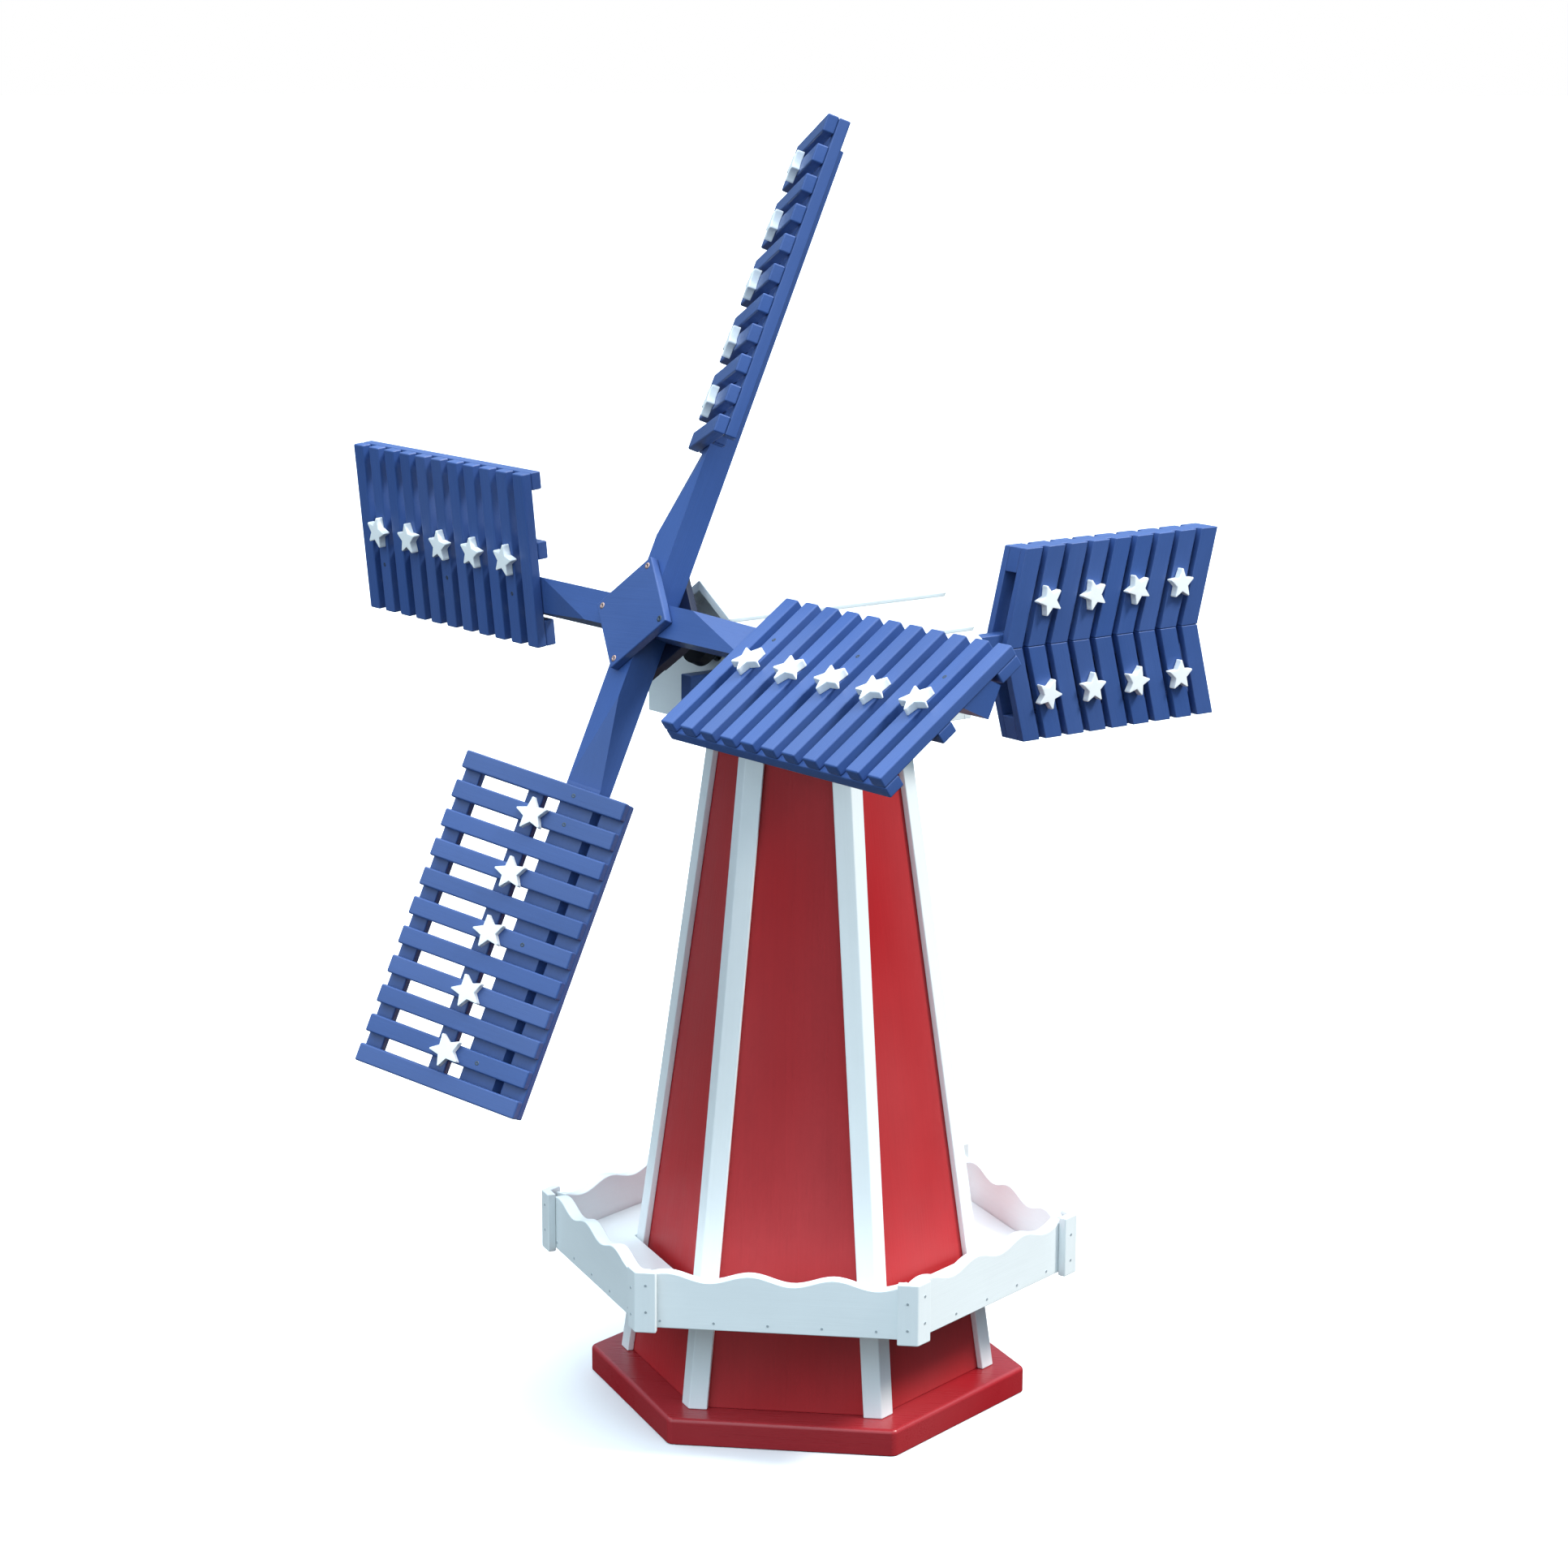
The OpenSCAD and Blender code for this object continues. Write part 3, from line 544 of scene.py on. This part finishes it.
def build_stars(node, point, normal=None):
    """Stars stand proud away from point, or on both sides of the plane through it."""
    source = clean_copy(node)
    bm = bmesh.new()
    owner = {i: star for star, group in enumerate(islands(source)) for i in group}
    source.faces.ensure_lookup_table()
    by_star = {}
    for face in source.faces:
        sized = (face.calc_area(), face.index)
        by_star.setdefault(owner[face.verts[0].index], []).append(sized)
    wear_and_highlight = []
    for star in sorted(by_star):
        # The two largest faces are the star's front and back
        sides = [source.faces[i] for _, i in sorted(by_star[star], reverse=True)[:2]]
        middles = [side.calc_center_median() for side in sides]
        away = (middles[0] + middles[1]) / 2 - Vector(point)
        if normal is not None:
            away = normal * away.dot(normal)
        if (middles[0] - middles[1]).dot(away) < 0:
            sides.reverse()
            middles.reverse()
        wear_and_highlight += add_star(bm, sides[0], *middles)
    source.free()
    bm.normal_update()
    ob = finish_mesh(bm, node + "_piece", BODY_OF[node], STAR_WHITE, wear_and_highlight)
    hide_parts(node)


def middle_of(node):
    lo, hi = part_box(node)
    return (lo + hi) / 2


# ---------------------------------------------------------------- screws
HEAD_SIDES = 16
HEAD_SINK = 0.0006      # depth of a head below the surface
# Dome of a head: (share of its radius, share of its height)
HEAD_DOME = [(1.0, 0.25), (0.93, 0.62), (0.72, 0.9), (0.4, 1.0)]
CROSS_TIP, CROSS_NOTCH, CROSS_DEPTH = 0.4, 0.16, -0.2  # shares of radius, radius and height

# The rotor's own directions: SHAFT along its axis, LEVEL sideways towards +X, RISE upwards
SPIN = next(j for j in frame["joints"] if j["name"] == "rotor_spin")
SHAFT = Vector(SPIN["axis"]).normalized()
HUB = Vector(SPIN["pos_m"])
LEVEL = Vector((-SHAFT.y, SHAFT.x, 0)).normalized()
if LEVEL.x < 0:
    LEVEL = -LEVEL
RISE = SHAFT.cross(LEVEL)
if RISE.z < 0:
    RISE = -RISE

ARM_CENTRE = HUB - SHAFT * 0.03485
BLADE_PITCH = math.radians(-30.6)
FIRST_SLAT = 0.244      # distance of slat 0 from the arm's centre
SLAT_PITCH = 0.0419
SCREW_INSET = 0.0125    # screw from the start of its slat
SCREW_SHIFT = -0.004    # screw along its slat
SCREW_LIFT = 0.0245     # screw out from the arm's centre
HUB_SCREW_RADIUS = 0.066


def screw_head(bm, at, out, radius, height, turn):
    """Domed head with a recessed cross, standing height proud of the surface at a point."""
    z = out.normalized()
    x = z.orthogonal().normalized()
    y = z.cross(x)
    angles = [2 * math.pi * i / HEAD_SIDES + turn for i in range(HEAD_SIDES)]

    def ring(shares, rise):
        return [bm.verts.new(at + x * (radius * share * math.cos(angle))
                             + y * (radius * share * math.sin(angle)) + z * rise)
                for share, angle in zip(shares, angles)]

    rings = [ring([1.0] * HEAD_SIDES, -HEAD_SINK)]
    rings += [ring([share] * HEAD_SIDES, rise * height) for share, rise in HEAD_DOME]
    for lower, upper in zip(rings, rings[1:]):
        band(bm, lower, upper)
    cross = [CROSS_TIP if i % 4 < 2 else CROSS_NOTCH for i in range(HEAD_SIDES)]
    pit = ring(cross, CROSS_DEPTH * height)
    band(bm, rings[-1], pit)
    bm.faces.new(pit)
    bm.faces.new(list(reversed(rings[0])))


def blade_axes(k):
    """(outward along the arm, along the slats, out of the slats) of blade k,
    counted from the top one towards LEVEL."""
    angle = math.radians(90 - 90 * k)
    outward = LEVEL * math.cos(angle) + RISE * math.sin(angle)
    flat = -LEVEL * math.sin(angle) + RISE * math.cos(angle)
    along = flat * math.cos(BLADE_PITCH) + SHAFT * math.sin(BLADE_PITCH)
    out = -flat * math.sin(BLADE_PITCH) + SHAFT * math.cos(BLADE_PITCH)
    return outward, along, out


def build_blade_screws(k):
    """Screws through some slats into the arm behind, each a little off its place."""
    outward, along, out = blade_axes(k)
    bm = bmesh.new()
    rnd = random.Random(40 + k)
    for i in ((0, 1, 5, 9) if k == 2 else (1, 5, 9)):
        reach = FIRST_SLAT + i * SLAT_PITCH + SCREW_INSET + rnd.uniform(-0.002, 0.002)
        shift = SCREW_SHIFT + rnd.uniform(-0.003, 0.003)
        at = ARM_CENTRE + outward * reach + along * shift + out * SCREW_LIFT
        screw_head(bm, at, out, radius=0.003, height=0.0003, turn=0.4 * i + k)
    finish_mesh(bm, f"blade_screws_{k + 1}", "rotor", SCREW, weighted=False)


def build_hub_screws(name, material, quarters):
    """Hub screw heads, each at a quarter turn counted from LEVEL towards RISE."""
    bm = bmesh.new()
    for quarter in quarters:
        angle = math.radians(90 * quarter)
        outward = LEVEL * math.cos(angle) + RISE * math.sin(angle)
        screw_head(bm, HUB + outward * HUB_SCREW_RADIUS, SHAFT, radius=0.0046,
                   height=0.0009, turn=0.3 * quarter)
    finish_mesh(bm, name, "rotor", material, weighted=False)


# ---------------------------------------------------------------- floor, lights and camera
def build_floor(radius=60, sides=96, z=-0.0005):
    """A wide disc, pale to the camera and dark to the light it bounces."""
    bm = bmesh.new()
    angles = [2 * math.pi * i / sides for i in range(sides)]
    bm.faces.new([bm.verts.new((radius * math.cos(a), radius * math.sin(a), z))
                  for a in angles])
    mesh = bpy.data.meshes.new("floor")
    bm.to_mesh(mesh)
    bm.free()
    floor = bpy.data.objects.new("floor", mesh)
    SCENE.collection.objects.link(floor)
    look = Look("floor_look")
    seen = look.node("ShaderNodeLightPath").outputs["Is Camera Ray"]
    bounced, shown = (0.040, 0.042, 0.038, 1), (0.88, 0.885, 0.89, 1)
    look.set("Base Color", look.mix(seen, bounced, shown))
    look.set("Roughness", 0.9)
    look.set("Specular IOR Level", 0.1)
    mesh.materials.append(look.material)


# Sky colour by height: 0 is straight down, 0.5 the horizon, 1 straight up
SKY_STOPS = [(0.48, (0.018, 0.020, 0.016, 1)), (0.52, (0.070, 0.095, 0.118, 1)),
             (0.68, (0.100, 0.130, 0.160, 1)), (0.80, (0.38, 0.48, 0.57, 1)),
             (0.90, (0.78, 0.90, 0.99, 1)), (1.0, (0.90, 0.97, 1.0, 1))]


def build_sky():
    """Soft sky: bright overhead, dim at the horizon, dark below; white to the camera."""
    world = bpy.data.worlds.new("sky")
    SCENE.world = world
    world.use_nodes = True
    nodes = Nodes(world.node_tree)
    sky = nodes.tree.nodes["Background"]
    direction = nodes.node("ShaderNodeTexCoord").outputs["Generated"]
    split = nodes.node("ShaderNodeSeparateXYZ")
    nodes.feed(direction, split.inputs[0])
    height = nodes.map_range(split.outputs[2], -1.0, 1.0)
    nodes.feed(nodes.ramp(height, SKY_STOPS), sky.inputs["Color"])
    sky.inputs["Strength"].default_value = 3.0
    backdrop = nodes.node("ShaderNodeBackground")
    backdrop.inputs["Color"].default_value = (1, 1, 1, 1)
    backdrop.inputs["Strength"].default_value = 1.0
    path = nodes.node("ShaderNodeLightPath")
    mixed = nodes.node("ShaderNodeMixShader")
    nodes.feed(path.outputs["Is Camera Ray"], mixed.inputs[0])
    nodes.feed(sky.outputs[0], mixed.inputs[1])
    nodes.feed(backdrop.outputs[0], mixed.inputs[2])
    nodes.feed(mixed.outputs[0], nodes.tree.nodes["World Output"].inputs["Surface"])


def add_sun(name, to_light, strength, angle, colour):
    """Soft distant light on the whole scene; angle is its size in degrees."""
    light = bpy.data.lights.new(name, "SUN")
    light.energy = strength
    light.angle = math.radians(angle)
    light.color = colour
    ob = bpy.data.objects.new(name, light)
    SCENE.collection.objects.link(ob)
    ob.rotation_mode = "QUATERNION"
    ob.rotation_quaternion = (-Vector(to_light)).to_track_quat("-Z", "Y")


def add_camera(place, view, lens, shift):
    lens_data = bpy.data.cameras.new("camera")
    camera = bpy.data.objects.new("camera", lens_data)
    SCENE.collection.objects.link(camera)
    camera.location = place
    camera.rotation_mode = "QUATERNION"
    camera.rotation_quaternion = Vector(view).to_track_quat("-Z", "Y")
    lens_data.sensor_width = 36
    lens_data.lens = lens
    lens_data.shift_x, lens_data.shift_y = shift
    lens_data.clip_end = 200
    SCENE.camera = camera


# ---------------------------------------------------------------- build
build_base()
build_tower()
colour_hardware()
build_head()
build_tail_and_nose()
build_rotor()
for k in range(1, 5):
    build_stars(f"blade_stars_{k}", middle_of(f"blade_slats_{k}"))
for k in range(4):
    build_blade_screws(k)
build_hub_screws("hub_screw_heads_pale", PALE_SCREW, (1, 2, 3))
build_hub_screws("hub_screw_head_dark", SCREW, (0,))
tail_middle = (middle_of("tail_slats_left") + middle_of("tail_slats_right")) / 2
build_stars("tail_stars", tail_middle, LEVEL)

build_floor()
build_sky()
add_sun("key", to_light=(0.66, 0.02, 0.76), strength=3.3, angle=14, colour=(1.0, 0.96, 0.90))
add_sun("fill", to_light=(-0.60, -1.0, 0.28), strength=1.32, angle=60,
        colour=(0.76, 0.93, 1.0))
add_camera(place=(0.63076, -5.14910, 1.98920), view=(-0.14080353, 0.9654602, -0.21922811),
           lens=87.04, shift=(0.0385, 0.0262))
SCENE.view_settings.view_transform = "Standard"
SCENE.view_settings.look = "None"
